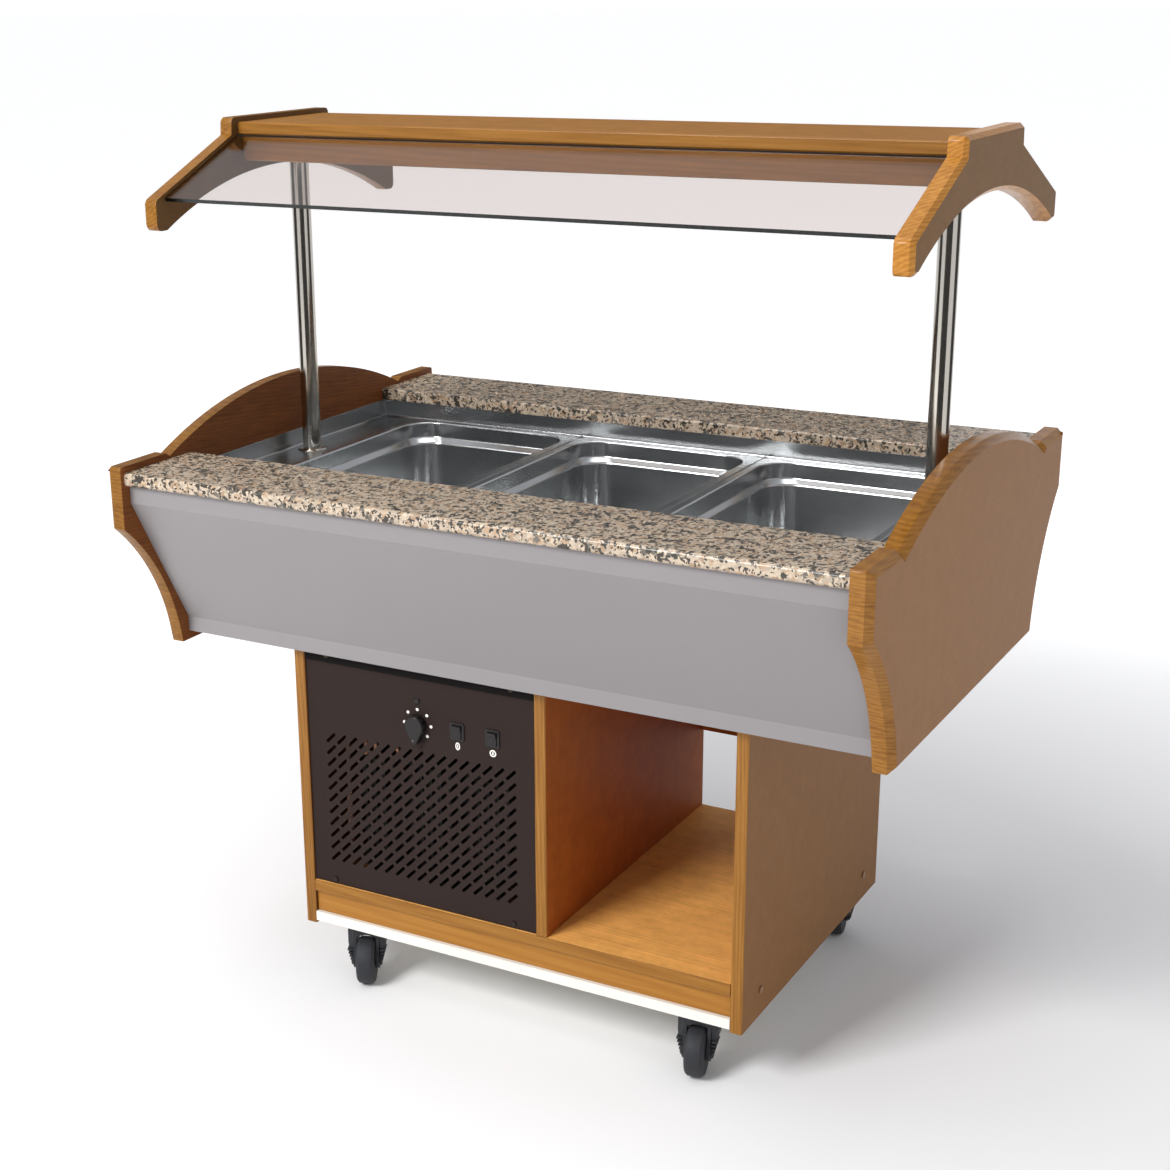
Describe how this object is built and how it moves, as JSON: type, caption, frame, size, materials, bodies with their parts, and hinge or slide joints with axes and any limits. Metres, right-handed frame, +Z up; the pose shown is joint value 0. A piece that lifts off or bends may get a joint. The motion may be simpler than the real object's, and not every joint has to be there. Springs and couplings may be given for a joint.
{
  "type": "mobile salad bar",
  "caption": "Mobile cooled salad bar: speckled stone counter round a steel well with pans, glazed canopy on chrome posts, wood base cabinet on swivel casters",
  "frame": {"origin": "on the floor, under the middle of the counter's bounding box", "axes": "+X along the counter to the right seen from the front, +Y from front to back, +Z up"},
  "size_m": [1.186, 0.868, 1.3365],
  "materials": {
    "honey_wood": "satin lacquer over straight grain",
    "white_board": "white faced board",
    "speckled_stone": "polished speckled granite",
    "grey_metal": "warm grey paint",
    "satin_steel": "satin stainless",
    "foam": "rigid foam, unseen",
    "bare_aluminium": "mill finish",
    "yellow_brass": "dull brass",
    "copper_pipe": "drawn copper",
    "bright_chrome": "polished",
    "clear_glass": "clear with a slight warm tint",
    "lamp_glass": "opal tube",
    "brown_metal": "dark brown powder coat",
    "black_metal": "black enamel",
    "black_plastic": "fine matt moulding",
    "screw_steel": "plated steel",
    "brown_cap": "brown cover caps",
    "caster_plastic": "black nylon",
    "wheel_plastic": "black polyamide tread"
  },
  "bodies": {
    "cart": {"base_board": "white_board", "base_floor": "honey_wood", "base_partition": "honey_wood", "base_side_left": "honey_wood", "base_side_right": "honey_wood", "cabinet_battens": "honey_wood", "cable_gland": "black_plastic", "canopy_beams": "honey_wood", "canopy_top": "honey_wood", "caster_plates": "satin_steel", "compressor": "black_metal", "condenser_coil": "bare_aluminium", "control_panel": "brown_metal", "divider_bar_left": "satin_steel", "divider_bar_right": "satin_steel", "drain_valve": "yellow_brass", "end_panel_left": "honey_wood", "end_panel_right": "honey_wood", "evaporator_coil": "bare_aluminium", "fan_shroud": "black_metal", "fascia_front": "grey_metal", "fascia_rear": "grey_metal", "front_glass": "clear_glass", "gable_left": "honey_wood", "gable_right": "honey_wood", "lamp_housing": "satin_steel", "lamp_tube": "lamp_glass", "panel_screws": "screw_steel", "pilot_lamp": "black_plastic", "plinths": "honey_wood", "post_left": "bright_chrome", "post_right": "bright_chrome", "post_rosettes": "bright_chrome", "rear_grille": "brown_metal", "rear_panel": "honey_wood", "refrigerant_pipes": "copper_pipe", "side_screws": "brown_cap", "stone_slab_front": "speckled_stone", "stone_slab_rear": "speckled_stone", "switch_bodies": "black_plastic", "thermostat_body": "black_plastic", "well_casing": "grey_metal", "well_insulation": "foam", "well_liner": "satin_steel"},
    "thermostat_knob": {"thermostat_knob": "black_plastic"},
    "rocker_power": {"rocker_power": "black_plastic"},
    "rocker_lamp": {"rocker_lamp": "black_plastic"},
    "pan_left": {"pan_left": "satin_steel"},
    "pan_centre": {"pan_centre": "satin_steel"},
    "pan_right": {"pan_right": "satin_steel"},
    "condenser_fan": {"condenser_fan": "bare_aluminium"},
    "drain_lever": {"drain_lever": "yellow_brass"},
    "caster_fork_fl": {"caster_fork_fl": "caster_plastic"},
    "caster_wheel_fl": {"caster_wheel_fl": "wheel_plastic"},
    "caster_fork_fr": {"caster_fork_fr": "caster_plastic"},
    "caster_wheel_fr": {"caster_wheel_fr": "wheel_plastic"},
    "caster_fork_rl": {"caster_fork_rl": "caster_plastic"},
    "caster_wheel_rl": {"caster_wheel_rl": "wheel_plastic"},
    "caster_fork_rr": {"caster_fork_rr": "caster_plastic"},
    "caster_wheel_rr": {"caster_wheel_rr": "wheel_plastic"}
  },
  "joints": [
    {"name": "swivel_fl", "type": "hinge", "parent": "cart", "child": "caster_fork_fl", "pos_m": [-0.293, -0.231, 0.0947], "axis": [0, 0, 1], "continuous": true},
    {"name": "roll_fl", "type": "hinge", "parent": "caster_fork_fl", "child": "caster_wheel_fl", "pos_m": [-0.28073, -0.25617, 0.0375], "axis": [-0.8988, -0.4384, 0], "continuous": true},
    {"name": "swivel_fr", "type": "hinge", "parent": "cart", "child": "caster_fork_fr", "pos_m": [0.293, -0.231, 0.0947], "axis": [0, 0, 1], "continuous": true},
    {"name": "roll_fr", "type": "hinge", "parent": "caster_fork_fr", "child": "caster_wheel_fr", "pos_m": [0.2993, -0.25828, 0.0375], "axis": [-0.9744, -0.225, 0], "continuous": true},
    {"name": "swivel_rl", "type": "hinge", "parent": "cart", "child": "caster_fork_rl", "pos_m": [-0.325, 0.231, 0.0947], "axis": [0, 0, 1], "continuous": true},
    {"name": "roll_rl", "type": "hinge", "parent": "caster_fork_rl", "child": "caster_wheel_rl", "pos_m": [-0.33082, 0.25839, 0.0375], "axis": [0.9781, 0.2079, 0], "continuous": true},
    {"name": "swivel_rr", "type": "hinge", "parent": "cart", "child": "caster_fork_rr", "pos_m": [0.325, 0.231, 0.0947], "axis": [0, 0, 1], "continuous": true},
    {"name": "roll_rr", "type": "hinge", "parent": "caster_fork_rr", "child": "caster_wheel_rr", "pos_m": [0.32014, 0.25857, 0.0375], "axis": [0.9848, 0.1736, 0], "continuous": true},
    {"name": "lift_left", "type": "slide", "parent": "cart", "child": "pan_left", "axis": [0, 0, 1], "range_m": [0, 0.2]},
    {"name": "lift_centre", "type": "slide", "parent": "cart", "child": "pan_centre", "axis": [0, 0, 1], "range_m": [0, 0.2]},
    {"name": "lift_right", "type": "slide", "parent": "cart", "child": "pan_right", "axis": [0, 0, 1], "range_m": [0, 0.2]},
    {"name": "knob_turn", "type": "hinge", "parent": "cart", "child": "thermostat_knob", "pos_m": [-0.1575, -0.284, 0.472], "axis": [0, 1, 0], "range_deg": [0, 315]},
    {"name": "rocker_power_press", "type": "hinge", "parent": "cart", "child": "rocker_power", "pos_m": [-0.088, -0.277, 0.473], "axis": [1, 0, 0], "range_deg": [-16, 0]},
    {"name": "rocker_lamp_press", "type": "hinge", "parent": "cart", "child": "rocker_lamp", "pos_m": [-0.0275, -0.277, 0.473], "axis": [1, 0, 0], "range_deg": [-16, 0]},
    {"name": "fan_spin", "type": "hinge", "parent": "cart", "child": "condenser_fan", "pos_m": [-0.1575, -0.184, 0.278], "axis": [0, 1, 0], "continuous": true},
    {"name": "drain_turn", "type": "hinge", "parent": "cart", "child": "drain_lever", "pos_m": [0.1623, 0.11, 0.536], "axis": [1, 0, 0], "range_deg": [0, 90]}
  ]
}
